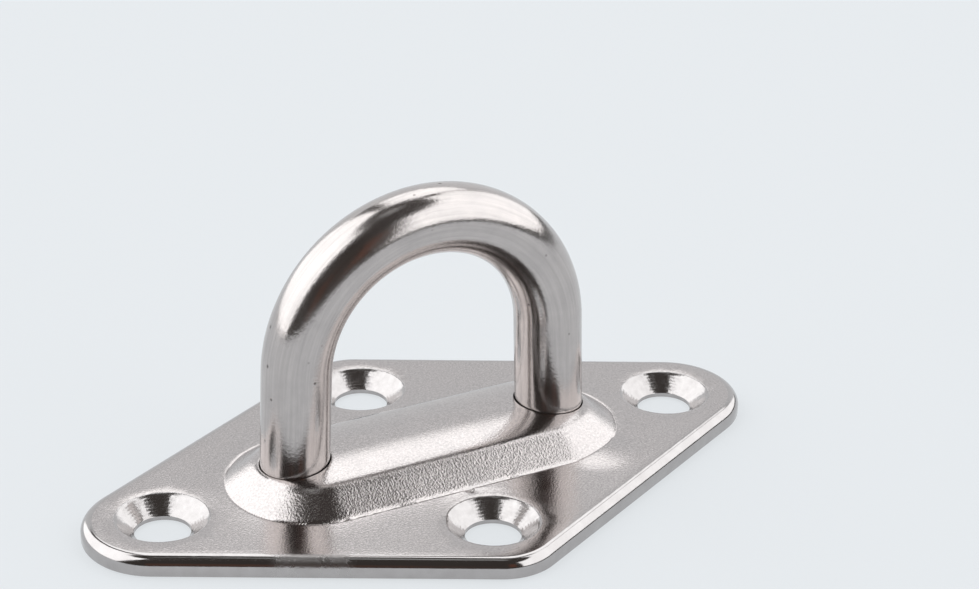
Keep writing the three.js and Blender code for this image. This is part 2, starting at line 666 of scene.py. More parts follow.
@dataclass(frozen=True)
class BossSection:
    """Half of the boss's cross-section: a domed crown, a tight shoulder and a straight wall."""

    sheet: float = 2.4
    end_centre: float = 14.3
    foot: float = 10.2
    wall: float = math.radians(36)
    shoulder_start: float = 6.0
    shoulder_radius: float = 3.0
    crown_start: float = 0.8
    crown_radius: float = 20.0

    def reach(self, x: float, y: float) -> float:
        """The distance of a point from the line between the boss's two end centres."""
        return math.hypot(max(abs(x) - self.end_centre, 0.0), y)

    def height(self, reach: float, inset: float = 0.0) -> float:
        """The height of the boss's skin.

        Args:
            reach: The distance from the boss's centre line.
            inset: How far the skin is sunk, square to itself. The sheet's thickness gives the
                skin of the recess below.

        Returns:
            The height above the plate's underside, which goes on down the wall past the foot.
        """
        tilt = math.asin((self.shoulder_start - self.crown_start) / self.crown_radius)
        shoulder_x = self.shoulder_start - self.shoulder_radius * math.sin(tilt)
        wall_run = self.foot - shoulder_x - self.shoulder_radius * math.sin(self.wall)
        wall_top = self.sheet + wall_run * math.tan(self.wall)
        shoulder_z = wall_top - self.shoulder_radius * math.cos(self.wall)
        crown_z = shoulder_z + (self.shoulder_radius - self.crown_radius) * math.cos(tilt)
        crown = self.crown_radius - inset
        shoulder = self.shoulder_radius - inset
        if reach <= self.crown_start + crown * math.sin(tilt):
            run = max(reach - self.crown_start, 0.0)
            return crown_z + math.sqrt(crown**2 - run**2)
        wall_x = shoulder_x + shoulder * math.sin(self.wall)
        if reach <= wall_x:
            return shoulder_z + math.sqrt(shoulder**2 - (reach - shoulder_x) ** 2)
        wall_z = shoulder_z + shoulder * math.cos(self.wall)
        return wall_z - (reach - wall_x) * math.tan(self.wall)

    def ring(self, reach: float, spacing: float) -> list[tuple[float, float]]:
        """Points at one distance from the boss's centre line.

        Args:
            reach: The distance.
            spacing: How far apart the points are.

        Returns:
            The points, anticlockwise.
        """
        round_steps = max(6, round(math.pi * reach / spacing))
        side_steps = round(2 * self.end_centre / spacing)
        points = []
        for sign in (1, -1):
            for i in range(round_steps):
                a = -math.pi / 2 + math.pi * i / round_steps
                x = self.end_centre + reach * math.cos(a)
                points.append((sign * x, sign * reach * math.sin(a)))
            for i in range(side_steps):
                x = self.end_centre * (1 - 2 * i / side_steps)
                points.append((sign * x, sign * reach))
        return points


class Shell:
    """A mesh built up from rings and filled areas, welded into one closed skin."""

    def __init__(self) -> None:
        """Starts an empty skin."""
        self.mesh = bmesh.new()
        self.stretch = self.mesh.verts.layers.float.new("stretch")
        self.bore = self.mesh.verts.layers.float.new("bore_radius")

    def vert(self, point: Point, stretch: float = 0.0, bore: float = 0.0) -> bmesh.types.BMVert:
        """Adds one vertex.

        Args:
            point: Its place in millimetres.
            stretch: How much the press stretched the sheet there.
            bore: Its distance in millimetres from the centre of its hole.

        Returns:
            The vertex.
        """
        vert = self.mesh.verts.new([c * MM for c in point])
        vert[self.stretch] = stretch
        vert[self.bore] = bore * MM
        return vert

    def loft(self, rings: list[Ring], slot: int, axis: tuple[float, float] | None = None) -> None:
        """Joins rings of equal length in order.

        Args:
            rings: The rings.
            slot: The material slot of the faces.
            axis: The hole's centre, where the rings are round one.
        """
        rows = []
        for ring in rings:
            radii = [math.dist(p[:2], axis) if axis else 0.0 for p in ring]
            rows.append([self.vert(p, bore=r) for p, r in zip(ring, radii)])
        for low, high in zip(rows, rows[1:]):
            for i in range(len(low)):
                j = (i + 1) % len(low)
                face = self.mesh.faces.new((low[i], low[j], high[j], high[i]))
                face.material_index = slot

    def object(self, name: str, materials: list[bpy.types.Material]) -> bpy.types.Object:
        """Welds the skin, turns it outwards and makes it an object.

        Args:
            name: The object's name.
            materials: Its material slots.

        Returns:
            The object, linked to the scene.
        """
        bmesh.ops.remove_doubles(self.mesh, verts=self.mesh.verts, dist=0.002 * MM)
        bmesh.ops.recalc_face_normals(self.mesh, faces=self.mesh.faces)
        for face in self.mesh.faces:
            face.smooth = True
        for edge in self.mesh.edges:
            edge.smooth = edge.calc_face_angle(0.0) < math.radians(32)
        data = bpy.data.meshes.new(name)
        self.mesh.to_mesh(data)
        self.mesh.free()
        piece = bpy.data.objects.new(name, data)
        for material in materials:
            data.materials.append(material)
        bpy.context.collection.objects.link(piece)
        return piece


def circle(centre: tuple[float, float], radius: float, steps: int) -> list[tuple[float, float]]:
    """Points round a circle, anticlockwise from +X."""
    turns = [2 * math.pi * i / steps for i in range(steps)]
    return [(centre[0] + radius * math.cos(a), centre[1] + radius * math.sin(a)) for a in turns]


@dataclass
class EyeBar:
    """The round bar bent to a U: two straight legs that lean outwards and one bend."""

    radius: float
    top: float
    foot: float
    bend_radius: float = 16.05
    splay: float = math.radians(2)
    end_chamfer: float = 0.4
    leg_steps: int = 20
    bend_steps: int = 150
    sides: int = 72

    @classmethod
    def from_frame(cls) -> EyeBar:
        """Takes the bar's sizes from the frame.

        Returns:
            The bar. Its ends are square to the leaning legs, so their centres are a little above
            the box's lowest point.
        """
        low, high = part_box("eye_bar")
        radius = high.y / MM
        rise = radius * math.sin(cls.splay)
        return cls(radius=radius, top=high.z / MM, foot=low.z / MM + rise)

    @property
    def bend_height(self) -> float:
        """The height of the bend's centre."""
        return self.top - self.radius - self.bend_radius

    def leg(self, side: Side, height: float) -> Point:
        """Finds the point of a leg's centre line at a height.

        Args:
            side: The leg.
            height: The height.

        Returns:
            The point.
        """
        start = self.bend_height + self.bend_radius * math.sin(self.splay)
        run = (start - height) * math.tan(self.splay)
        return (side.value * (self.bend_radius * math.cos(self.splay) + run), 0.0, height)

    def bend(self) -> Ring:
        """Finds the centre line's points round the bend.

        Returns:
            The points, from the left leg to the right one.
        """
        points = []
        for i in range(self.bend_steps + 1):
            sweep = (math.pi - 2 * self.splay) * i / self.bend_steps
            a = math.pi - self.splay - sweep
            x = self.bend_radius * math.cos(a)
            points.append((x, 0.0, self.bend_height + self.bend_radius * math.sin(a)))
        return points

    def centre_line(self) -> bpy.types.Object:
        """Makes the centre line as a curve.

        Returns:
            The curve object. Its end points' radius draws the chamfers in.
        """
        bend = self.bend()
        heights = [self.foot, self.foot + self.end_chamfer]
        rise = bend[0][2] - heights[1]
        heights += [heights[1] + rise * (i + 1) / self.leg_steps for i in range(self.leg_steps - 1)]
        left = [self.leg(Side.LEFT, h) for h in heights]
        right = [self.leg(Side.RIGHT, h) for h in reversed(heights)]
        points = left + bend + right
        data = bpy.data.curves.new("eye_centre_line", "CURVE")
        data.dimensions = "3D"
        spline = data.splines.new("POLY")
        spline.points.add(len(points) - 1)
        for i, (target, point) in enumerate(zip(spline.points, points)):
            target.co = (*(c * MM for c in point), 1.0)
            at_end = i in (0, len(points) - 1)
            target.radius = 1 - self.end_chamfer / self.radius if at_end else 1.0
        line = bpy.data.objects.new("eye_centre_line", data)
        bpy.context.collection.objects.link(line)
        return line

    def tree(self, material: bpy.types.Material) -> bpy.types.NodeTree:
        """The node tree that sweeps the bar along its centre line.

        Args:
            material: The bar's finish.

        Returns:
            The tree, with inputs for the bar's radius and the sides of its section.
        """
        tree = bpy.data.node_groups.new("swept_bar", "GeometryNodeTree")
        face = tree.interface
        face.new_socket("Centre Line", in_out="INPUT", socket_type="NodeSocketGeometry")
        face.new_socket("Bar Radius", in_out="INPUT", socket_type="NodeSocketFloat")
        face.new_socket("Sides", in_out="INPUT", socket_type="NodeSocketInt")
        face.new_socket("Bar", in_out="OUTPUT", socket_type="NodeSocketGeometry")
        given = add_node(tree, "NodeGroupInput").outputs
        along = add_node(tree, "GeometryNodeSplineParameter").outputs["Length"]
        line = add_node(
            tree,
            "GeometryNodeStoreNamedAttribute",
            {"Geometry": given["Centre Line"], "Name": "along", "Value": along},
        )
        section = add_node(
            tree,
            "GeometryNodeCurvePrimitiveCircle",
            {"Resolution": given["Sides"], "Radius": given["Bar Radius"]},
        )
        across = add_node(tree, "GeometryNodeInputPosition").outputs["Position"]
        marked = add_node(
            tree,
            "GeometryNodeStoreNamedAttribute",
            {"Geometry": section.outputs["Curve"], "Name": "across", "Value": across},
            data_type="FLOAT_VECTOR",
        )
        taper = add_node(tree, "GeometryNodeInputRadius").outputs["Radius"]
        bar = add_node(
            tree,
            "GeometryNodeCurveToMesh",
            {
                "Curve": line.outputs["Geometry"],
                "Profile Curve": marked.outputs["Geometry"],
                "Scale": taper,
                "Fill Caps": True,
            },
        )
        length = add_node(tree, "GeometryNodeInputNamedAttribute", {"Name": "along"})
        spot = add_node(
            tree,
            "GeometryNodeInputNamedAttribute",
            {"Name": "across"},
            data_type="FLOAT_VECTOR",
        )
        parts = add_node(tree, "ShaderNodeSeparateXYZ", {0: spot.outputs["Attribute"]})
        where = add_node(
            tree,
            "ShaderNodeCombineXYZ",
            {0: length.outputs["Attribute"], 1: parts.outputs["X"], 2: parts.outputs["Y"]},
        )
        placed = add_node(
            tree,
            "GeometryNodeStoreNamedAttribute",
            {
                "Geometry": bar.outputs["Mesh"],
                "Name": "bar_place",
                "Value": where.outputs["Vector"],
            },
            data_type="FLOAT_VECTOR",
        )
        solid = add_node(
            tree, "GeometryNodeRealizeInstances", {"Geometry": placed.outputs["Geometry"]}
        )
        dressed = add_node(
            tree,
            "GeometryNodeSetMaterial",
            {"Geometry": solid.outputs["Geometry"], "Material": material},
        )
        add_node(tree, "NodeGroupOutput", {"Bar": dressed.outputs["Geometry"]})
        return tree

    def build(self, material: bpy.types.Material) -> bpy.types.Object:
        """Makes the bar and sets it in place of its CAD node.

        Args:
            material: The bar's finish.

        Returns:
            The bar.
        """
        tree = self.tree(material)
        values = {"Bar Radius": self.radius * MM, "Sides": self.sides}
        piece = grow(self.centre_line(), tree, values, "eye_bar_polished")
        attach(piece, "root")
        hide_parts("eye_bar")
        return piece


def grow(
    seed: bpy.types.Object,
    tree: bpy.types.NodeTree,
    values: dict[str, float | int],
    name: str,
) -> bpy.types.Object:
    """Runs a node tree on an object and keeps the result as a plain mesh.

    Args:
        seed: The object that the tree starts from, which is removed afterwards.
        tree: The tree.
        values: The tree's inputs, by name.
        name: The new object's name.

    Returns:
        The new object, smooth shaded and with no modifier.
    """
    modifier = seed.modifiers.new(tree.name, "NODES")
    modifier.node_group = tree
    for item in tree.interface.items_tree:
        if item.item_type == "SOCKET" and item.name in values:
            modifier[item.identifier] = values[item.name]
    depsgraph = bpy.context.evaluated_depsgraph_get()
    data = bpy.data.meshes.new_from_object(seed.evaluated_get(depsgraph), depsgraph=depsgraph)
    data.name = name
    bpy.data.objects.remove(seed)
    shell = bmesh.new()
    shell.from_mesh(data)
    bmesh.ops.remove_doubles(shell, verts=shell.verts, dist=0.001 * MM)
    bmesh.ops.recalc_face_normals(shell, faces=shell.faces)
    for edge in shell.edges:
        edge.smooth = edge.calc_face_angle(0.0) < math.radians(32)
    for face in shell.faces:
        face.smooth = True
    shell.to_mesh(data)
    shell.free()
    piece = bpy.data.objects.new(name, data)
    bpy.context.collection.objects.link(piece)
    return piece


def fuse(piece: bpy.types.Object, grid: float, material: bpy.types.Material) -> None:
    """Turns overlapping closed shapes into one skin with nothing left inside it.

    Args:
        piece: The object whose mesh is fused.
        grid: The size in millimetres of the grid that the skin is drawn on.
        material: The finish, which the fused mesh doesn't keep by itself.
    """
    modifier = piece.modifiers.new("fuse", "REMESH")
    modifier.mode = "VOXEL"
    modifier.voxel_size = grid * MM
    modifier.use_smooth_shade = True
    depsgraph = bpy.context.evaluated_depsgraph_get()
    data = bpy.data.meshes.new_from_object(piece.evaluated_get(depsgraph), depsgraph=depsgraph)
    data.name = piece.data.name + "_fused"
    data.materials.clear()
    data.materials.append(material)
    piece.modifiers.remove(modifier)
    piece.data = data


@dataclass
class BasePlate:
    """The pressed plate: a rounded rhombus with a boss, four screw holes and two leg holes.

    The flare, the groove and the nick stand for marks that a press leaves along the boss's foot.
    The swell is a guess at why the sheet catches the light there. The frame holds none of them.
    """

    half_length: float
    half_width: float
    boss: BossSection
    bar: EyeBar
    end_radius: float = 8.7
    side_radius: float = 7.1
    top_round: float = 1.3
    bottom_round: float = 0.35
    long_holes: float = 65.4
    short_holes: float = 34.4
    hole_radius: float = 3.2
    hole_land: float = 0.55
    sink_radius: float = 5.45
    lip: float = 0.3
    lip_drop: float = 0.12
    leg_gap: float = 0.1
    leg_lip: float = 0.16
    foot_wander: float = 0.05
    foot_groove: float = 0.09
    foot_flare: float = 0.12
    wander_wave: float = 2.2
    wander_width: float = 0.45
    groove_width: float = 0.11
    flare_decay: float = 2.6
    flare_ease: float = 1.6
    flat_beyond: float = 9.0
    nick: tuple[float, float] = (0.7, -10.35)
    nick_depth: float = 0.28
    nick_width: float = 0.34
    swell_place: tuple[float, float] = (18.35, -8.8)
    swell_reach: float = 5.2
    swell_height: float = 0.22
    recess_ease: float = 0.35
    hole_steps: int = 96
    bend_steps: int = 30
    field_step: float = 1.3

    @classmethod
    def from_frame(cls, bar: EyeBar) -> BasePlate:
        """The plate with the frame's length and width."""
        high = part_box("base_plate")[1]
        return cls(half_length=high.x / MM, half_width=high.y / MM, boss=BossSection(), bar=bar)

    def outline(self, inset: float, height: float) -> Ring:
        """The plate's outline.

        Args:
            inset: How far inside the edge it runs.
            height: Its height.

        Returns:
            The ring, anticlockwise.
        """
        end = self.half_length - self.end_radius
        side = self.half_width - self.side_radius
        slope = math.atan2(side, end)
        normal = math.acos((self.side_radius - self.end_radius) / math.hypot(end, side)) - slope
        arcs = [
            ((end, 0.0), self.end_radius, -normal, normal),
            ((0.0, side), self.side_radius, normal, math.pi - normal),
            ((-end, 0.0), self.end_radius, math.pi - normal, math.pi + normal),
            ((0.0, -side), self.side_radius, math.pi + normal, 2 * math.pi - normal),
        ]
        bends = []
        for (cx, cy), radius, start, stop in arcs:
            r = radius - inset
            steps = self.bend_steps
            turns = [start + (stop - start) * i / steps for i in range(steps + 1)]
            bends.append([(cx + r * math.cos(a), cy + r * math.sin(a)) for a in turns])
        return [(x, y, height) for bend in bends for x, y in bend]

    def top_height(self, x: float, y: float) -> float:
        """Finds the height of the upper face, with its flare, groove, nick and swell.

        Args:
            x: The place along the plate.
            y: The place across it.

        Returns:
            The height above the underside.
        """
        sheet = self.boss.sheet
        reach = self.boss.reach(x, y)
        away = max(reach - self.boss.foot, 0.0)
        clear = min(math.dist((x, y), c) for c in self.holes()) - self.sink_radius
        ease = min(max(clear, 0.0) / self.flare_ease, 1.0)
        flare = self.foot_flare * math.exp(-away / self.flare_decay) * ease
        if reach > self.boss.foot + self.flat_beyond:
            return sheet
        off = min(math.dist((x, y), self.swell_place) / self.swell_reach, 1.0)
        flare += self.swell_height * (1 - off**2) ** 2
        spot = Vector((x / self.wander_wave, y / self.wander_wave, 0.0))
        at_foot = math.exp(-(((reach - self.boss.foot) / self.wander_width) ** 2))
        uneven = reach + self.foot_wander * noise.noise(spot) * at_foot
        foot = self.boss.foot - flare / math.tan(self.boss.wall)
        groove = self.foot_groove * math.exp(-(((uneven - foot) / self.groove_width) ** 2))
        nicked = (math.dist((x, y), self.nick) / self.nick_width) ** 2
        dent = self.nick_depth * math.exp(-nicked)
        return max(sheet + flare, self.boss.height(uneven)) - groove - dent

    def under_height(self, x: float, y: float) -> float:
        """Finds the height of the lower face, with a rounded edge round the recess.

        Args:
            x: The place along the plate.
            y: The place across it.

        Returns:
            The height above the mounting plane.
        """
        skin = self.boss.height(self.boss.reach(x, y), self.boss.sheet)
        ease = self.recess_ease
        if skin <= -ease:
            return 0.0
        return skin if skin >= ease else (skin + ease) ** 2 / (4 * ease)

    def stretch(self, x: float, y: float) -> float:
        """Finds how much the press stretched the sheet: most on the boss's wall.

        Args:
            x: The place along the plate.
            y: The place across it.

        Returns:
            The stretch, from 0.55 on the flats and the crown to 1 on the wall.
        """
        reach = self.boss.reach(x, y)
        wall = max(0.0, 1 - abs(reach - 8.6) / 2.2)
        return 0.55 + 0.45 * min(1.0, 2 * wall)

    def holes(self) -> list[tuple[float, float]]:
        """The centres of the screw holes."""
        x, y = self.long_holes / 2, self.short_holes / 2
        return [(-x, 0.0), (x, 0.0), (0.0, -y), (0.0, y)]

    def leg_axis(self, side: Side) -> tuple[float, float]:
        """Where a leg's centre line passes through the crown."""
        return self.bar.leg(side, self.boss.height(0.0))[:2]

    def fill(
        self,
        shell: Shell,
        rings: list[list[tuple[float, float]]],
        loose: list[tuple[float, float]],
        level: Level,
    ) -> None:
        """Fills one face of the plate between its edge and its holes.

        Args:
            shell: The skin that the face joins.
            rings: The outer edge first, then the edges of the holes.
            loose: Points inside the face.
            level: The face, which says how the points get their heights.
        """
        points: list[Vector] = []
        edges = []
        for ring in rings:
            start = len(points)
            points += [Vector(p) for p in ring]
            edges += [(start + i, start + (i + 1) % len(ring)) for i in range(len(ring))]
        points += [Vector(p) for p in loose]
        flat, _, faces, *_ = delaunay_2d_cdt(points, edges, [], 0, 1e-5)
        lift = self.top_height if level is Level.TOP else self.under_height
        verts = [shell.vert((x, y, lift(x, y)), self.stretch(x, y)) for x, y in flat]
        for face in faces:
            x = sum(flat[i][0] for i in face) / len(face)
            y = sum(flat[i][1] for i in face) / len(face)
            if self.is_metal(x, y, rings):
                shell.mesh.faces.new([verts[i] for i in face])
        for vert in verts:
            if not vert.link_faces:
                shell.mesh.verts.remove(vert)

    def is_metal(self, x: float, y: float, rings: list[list[tuple[float, float]]]) -> bool:
        """Tells whether a point is on the sheet and not over a hole.

        Args:
            x: The place along the plate.
            y: The place across it.
            rings: The outer edge first, then the edges of the holes.

        Returns:
            True inside the first ring and outside the others.
        """
        centres = self.holes() + [self.leg_axis(side) for side in Side]
        for centre, ring in zip(centres, rings[1:]):
            if math.dist((x, y), centre) < math.dist(ring[0], centre) * 0.9995:
                return False
        return inside(x, y, rings[0])

    def boss_points(self, reaches: list[float], spacing: float) -> list[tuple[float, float]]:
        """Spreads points over the boss or the recess, clear of all the holes.

        Args:
            reaches: The distances from the boss's centre line.
            spacing: How far apart the points are.

        Returns:
            The points.
        """
        keep = self.bar.radius + self.leg_gap + self.leg_lip + 0.14
        centres = [self.leg_axis(side) for side in Side]
        points = [p for reach in reaches for p in self.boss.ring(reach, spacing)]
        points += [(x * spacing, 0.0) for x in range(-36, 37) if abs(x * spacing) < 14.2]
        edge = self.outline(self.top_round + 0.4, 0.0)
        clear = [p for p in points if all(math.dist(p, c) > keep for c in centres)]
        sink = self.sink_radius + 0.3
        clear = [p for p in clear if all(math.dist(p, c) > sink for c in self.holes())]
        return [p for p in clear if inside(*p, edge)]

    def field_points(self, reach: float) -> list[tuple[float, float]]:
        """Spreads points evenly on the flats, clear of the boss and the screw holes.

        Args:
            reach: How far from the boss's centre line they start.

        Returns:
            The points.
        """
        points = []
        step = self.field_step
        edge = self.outline(self.top_round + 0.7, 0.0)
        for i in range(-32, 33):
            for j in range(-20, 21):
                p = (i * step + (j % 2) * step / 2, j * step)
                clear = all(math.dist(p, c) > self.sink_radius + 0.9 for c in self.holes())
                if clear and self.boss.reach(*p) > reach + 0.6 and inside(*p, edge):
                    points.append(p)
        return points

    def screw_hole(self, shell: Shell, centre: tuple[float, float], slot: int) -> None:
        """Adds a screw hole's wall: the rounded lip, the cone, the land and the lower edge.

        Args:
            shell: The skin that the wall joins.
            centre: The hole's centre.
            slot: The material slot.
        """
        sheet, r, lip = self.boss.sheet, self.sink_radius, self.lip
        cone_top = (r - lip, sheet - self.lip_drop)
        profile = [(r, sheet), (r - lip * 0.33, sheet - self.lip_drop * 0.16)]
        profile += [(r - lip * 0.67, sheet - self.lip_drop * 0.5), cone_top]
        for i in range(1, 9):
            t = i / 9
            x = cone_top[0] + (self.hole_radius + 0.05 - cone_top[0]) * t
            profile.append((x, cone_top[1] + (self.hole_land + 0.06 - cone_top[1]) * t))
        profile += [(self.hole_radius + 0.05, self.hole_land + 0.06)]
        profile += [(self.hole_radius, self.hole_land), (self.hole_radius, 0.1)]
        profile += [(self.hole_radius + 0.1, 0.0)]
        rings = []
        for radius, z in profile:
            rings.append([(x, y, z) for x, y in circle(centre, radius, self.hole_steps)])
        shell.loft(rings, slot, centre)

    def leg_hole(self, shell: Shell, side: Side) -> None:
        """Adds the wall of a leg's hole, from the crown down to the roof of the recess.

        Args:
            shell: The skin that the wall joins.
            side: The leg.
        """
        centre = self.leg_axis(side)
        radius = self.bar.radius + self.leg_gap
        rings = []
        for grow_by, sink in ((self.leg_lip, 0.0), (self.leg_lip * 0.3, 0.05), (0.0, 0.16)):
            ring = circle(centre, radius + grow_by, self.hole_steps)
            rings.append([(x, y, self.top_height(x, y) - sink) for x, y in ring])
        low = circle(centre, radius, self.hole_steps)
        rings.append([(x, y, self.under_height(x, y)) for x, y in low])
        shell.loft(rings, 0)

    def rim(self, shell: Shell, slot: int) -> None:
        """Adds the plate's edge, from the underside round to the upper face.

        Args:
            shell: The skin that the edge joins.
            slot: The material slot.
        """
        sheet = self.boss.sheet
        rings = []
        for i in range(5):
            a = math.pi / 2 * i / 4
            inset = self.bottom_round * (1 - math.sin(a))
            rings.append(self.outline(inset, self.bottom_round * (1 - math.cos(a))))
        for i in range(15):
            a = math.pi / 2 * i / 14
            inset = self.top_round * (1 - math.cos(a))
            rings.append(self.outline(inset, sheet - self.top_round * (1 - math.sin(a))))
        shell.loft(rings, slot)

    def build(self, finishes: list[bpy.types.Material]) -> bpy.types.Object:
        """Makes the plate and sets it in place of its CAD node.

        Args:
            finishes: The finishes of the sheet, the countersinks and the edge, in that order.

        Returns:
            The plate.
        """
        shell = Shell()
        self.rim(shell, 2)
        for centre in self.holes():
            self.screw_hole(shell, centre, 1)
        for side in Side:
            self.leg_hole(shell, side)
        centres = [self.leg_axis(side) for side in Side]
        leg = self.bar.radius + self.leg_gap
        foot = self.boss.foot
        steps = self.hole_steps
        top = [[p[:2] for p in self.outline(self.top_round, 0.0)]]
        top += [circle(c, self.sink_radius, steps) for c in self.holes()]
        top += [circle(c, leg + self.leg_lip, steps) for c in centres]
        reaches = [0.4 * i for i in range(1, 24)]
        reaches += [foot + d for d in (-0.6, -0.35, -0.2, -0.1, 0.0, 0.1, 0.2, 0.35, 0.6, 1.0)]
        reaches += [foot + d for d in (1.4, 1.9, 2.5, 3.2, 4.0)]
        loose = self.boss_points(reaches, 0.34) + self.field_points(foot + 4.0)
        self.fill(shell, top, loose, Level.TOP)
        under = [[p[:2] for p in self.outline(self.bottom_round, 0.0)]]
        under += [circle(c, self.hole_radius + 0.1, steps) for c in self.holes()]
        under += [circle(c, leg, steps) for c in centres]
        reaches = [0.45 * i for i in range(1, 20)] + [8.9, 9.15, 9.4, 9.65, 9.9, 10.2]
        loose = self.boss_points(reaches, 0.5) + self.field_points(foot + 0.2)
        self.fill(shell, under, loose, Level.UNDER)
        piece = shell.object("base_plate_pressed", finishes)
        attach(piece, "root")
        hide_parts("base_plate")
        return piece


def inside(x: float, y: float, ring: list[tuple[float, ...]]) -> bool:
    """Tells whether a point is inside a convex ring.

    Args:
        x: The point's X.
        y: Its Y.
        ring: The ring, anticlockwise.

    Returns:
        True inside it.
    """
    for p, q in zip(ring, ring[1:] + ring[:1]):
        if (q[0] - p[0]) * (y - p[1]) - (q[1] - p[1]) * (x - p[0]) < 0:
            return False
    return True


@dataclass
class WeldBead:
    """The weld round the foot of one leg: overlapping drops laid along the corner."""

    side: Side
    plate: BasePlate
    node: str
    reach: float = 5.0
    drops: int = 44
    drop_radius: float = 1.15
    drop_shape: Point = (1.25, 1.0, 0.62)
    uneven: tuple[float, float] = (0.92, 1.1)
    seed: int = 7
    grid: float = 0.11

    def path(self) -> bpy.types.Object:
        """Makes the line that the weld follows, round the leg and just under the recess's roof.

        Returns:
            The curve object.
        """
        centre = self.plate.bar.leg(self.side, 2.0)[:2]
        data = bpy.data.curves.new(self.node + "_path", "CURVE")
        data.dimensions = "3D"
        spline = data.splines.new("POLY")
        ring = circle(centre, self.reach, 88)
        spline.points.add(len(ring) - 1)
        for target, (x, y) in zip(spline.points, ring):
            height = max(self.plate.under_height(x, y) - 0.25, 1.6)
            target.co = (x * MM, y * MM, height * MM, 1.0)
        spline.use_cyclic_u = True
        line = bpy.data.objects.new(self.node + "_path", data)
        bpy.context.collection.objects.link(line)
        return line

    def tree(self, material: bpy.types.Material) -> bpy.types.NodeTree:
        """The node tree that lays the drops along the path.

        Args:
            material: The weld's finish.

        Returns:
            The tree, with inputs for the drops' number and radius and for the seed.
        """
        tree = bpy.data.node_groups.new(self.node + "_drops", "GeometryNodeTree")
        face = tree.interface
        face.new_socket("Path", in_out="INPUT", socket_type="NodeSocketGeometry")
        face.new_socket("Drops", in_out="INPUT", socket_type="NodeSocketInt")
        face.new_socket("Drop Radius", in_out="INPUT", socket_type="NodeSocketFloat")
        face.new_socket("Seed", in_out="INPUT", socket_type="NodeSocketInt")
        face.new_socket("Weld", in_out="OUTPUT", socket_type="NodeSocketGeometry")
        given = add_node(tree, "NodeGroupInput").outputs
        spots = add_node(
            tree,
            "GeometryNodeCurveToPoints",
            {"Curve": given["Path"], "Count": given["Drops"]},
            mode="COUNT",
        )
        drop = add_node(
            tree,
            "GeometryNodeMeshUVSphere",
            {"Segments": 28, "Rings": 16, "Radius": given["Drop Radius"]},
        )
        size = add_node(
            tree,
            "FunctionNodeRandomValue",
            {2: self.uneven[0], 3: self.uneven[1], "Seed": given["Seed"]},
        )
        stretched = add_node(
            tree,
            "ShaderNodeVectorMath",
            {0: self.drop_shape, "Scale": size.outputs[1]},
            operation="SCALE",
        )
        laid = add_node(
            tree,
            "GeometryNodeInstanceOnPoints",
            {
                "Points": spots.outputs["Points"],
                "Instance": drop.outputs["Mesh"],
                "Rotation": spots.outputs["Rotation"],
                "Scale": stretched.outputs["Vector"],
            },
        )
        solid = add_node(
            tree, "GeometryNodeRealizeInstances", {"Geometry": laid.outputs["Instances"]}
        )
        dressed = add_node(
            tree,
            "GeometryNodeSetMaterial",
            {"Geometry": solid.outputs["Geometry"], "Material": material},
        )
        add_node(tree, "NodeGroupOutput", {"Weld": dressed.outputs["Geometry"]})
        return tree

    def build(self, material: bpy.types.Material) -> bpy.types.Object:
        """Makes the weld and sets it in place of its CAD node.

        Args:
            material: The weld's finish.

        Returns:
            The weld.
        """
        values = {
            "Drops": self.drops,
            "Drop Radius": self.drop_radius * MM,
            "Seed": self.seed,
        }
        piece = grow(self.path(), self.tree(material), values, self.node + "_laid")
        fuse(piece, self.grid, material)
        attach(piece, "root")
        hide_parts(self.node)
        return piece


@dataclass(frozen=True)
class Panel:
    """One plain area of the studio round the object, by the directions that it fills.

    Azimuth 0 is +Y and 90 is +X. A lean moves the left and right edges sideways as
    they rise, and a tilt lifts the lower and upper edges as they go round. Softness is the width
    in degrees of the blur at the side edges and at the lower and upper ones.
    """

    name: str
    azimuth: tuple[float, float]
    elevation: tuple[float, float]
    colour: str
    strength: float
    soft: tuple[float, float] = (3.0, 3.0)
    lean: tuple[float, float] = (0.0, 0.0)
    tilt: tuple[float, float] = (0.0, 0.0)


